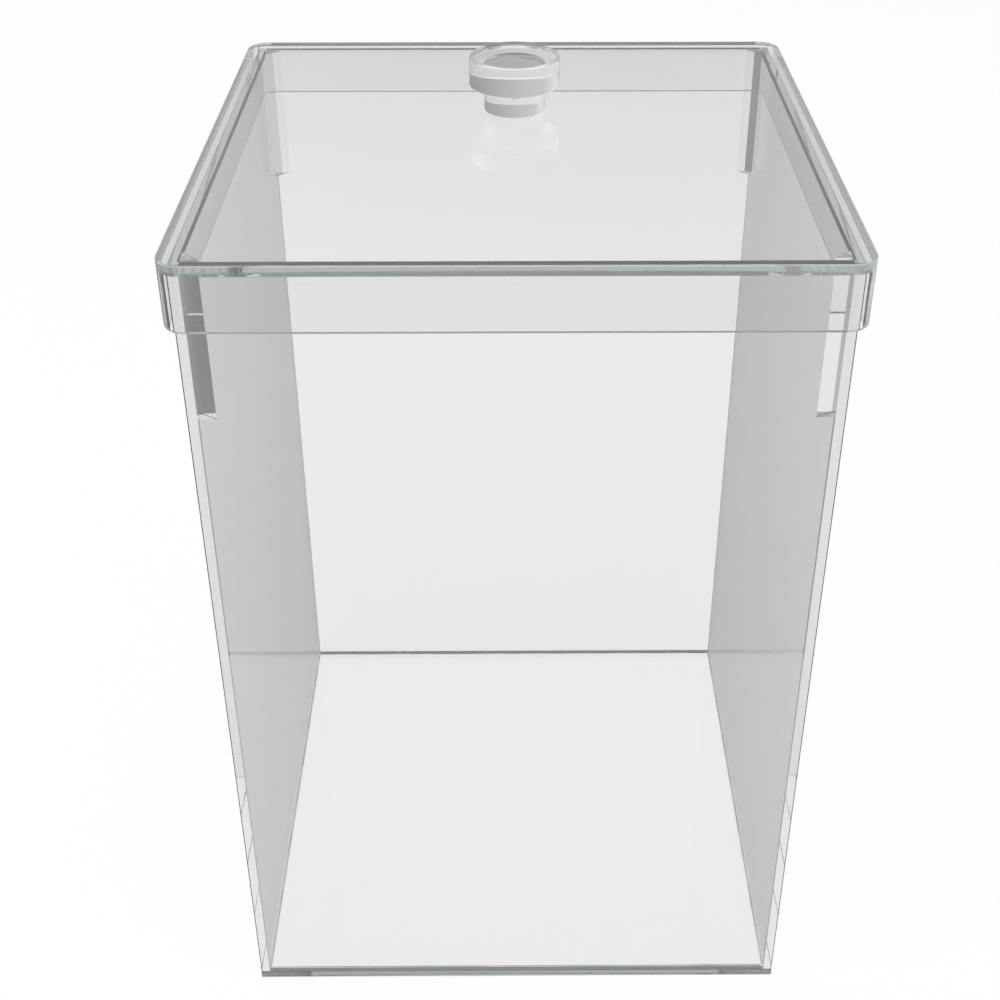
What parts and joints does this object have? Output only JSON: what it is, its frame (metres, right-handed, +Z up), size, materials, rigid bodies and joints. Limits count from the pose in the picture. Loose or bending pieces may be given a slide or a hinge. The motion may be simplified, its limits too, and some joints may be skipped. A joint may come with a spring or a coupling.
{
  "type": "storage bin",
  "caption": "Tall square clear-acrylic candy bin with an open top and a lift-off cap lid that overhangs the walls and carries a round two-step pull knob.",
  "frame": {"origin": "middle of the square footprint, on the face that the bin stands on", "axes": "+Z up through the lid, -Y towards the front, +X to the viewer's right from the front"},
  "size_m": [0.3112, 0.3112, 0.4885],
  "materials": {
    "clear_sheet": "clear cast acrylic sheet, polished edges",
    "clear_gusset": "clear cast acrylic prism",
    "clear_knob": "clear turned acrylic rod, polished"
  },
  "bodies": {
    "bin": {"base_plate": "clear_sheet", "front_wall": "clear_sheet", "back_wall": "clear_sheet", "left_wall": "clear_sheet", "right_wall": "clear_sheet", "gusset_front_left": "clear_gusset", "gusset_front_right": "clear_gusset", "gusset_back_left": "clear_gusset", "gusset_back_right": "clear_gusset"},
    "lid": {"lid_plate": "clear_sheet", "skirt_front": "clear_sheet", "skirt_back": "clear_sheet", "skirt_left": "clear_sheet", "skirt_right": "clear_sheet", "knob_stem": "clear_knob", "knob_cap": "clear_knob"}
  },
  "joints": [
    {"name": "lid_lift", "type": "slide", "parent": "bin", "child": "lid", "axis": [0, 0, 1], "range_m": [0, 0.1]}
  ]
}
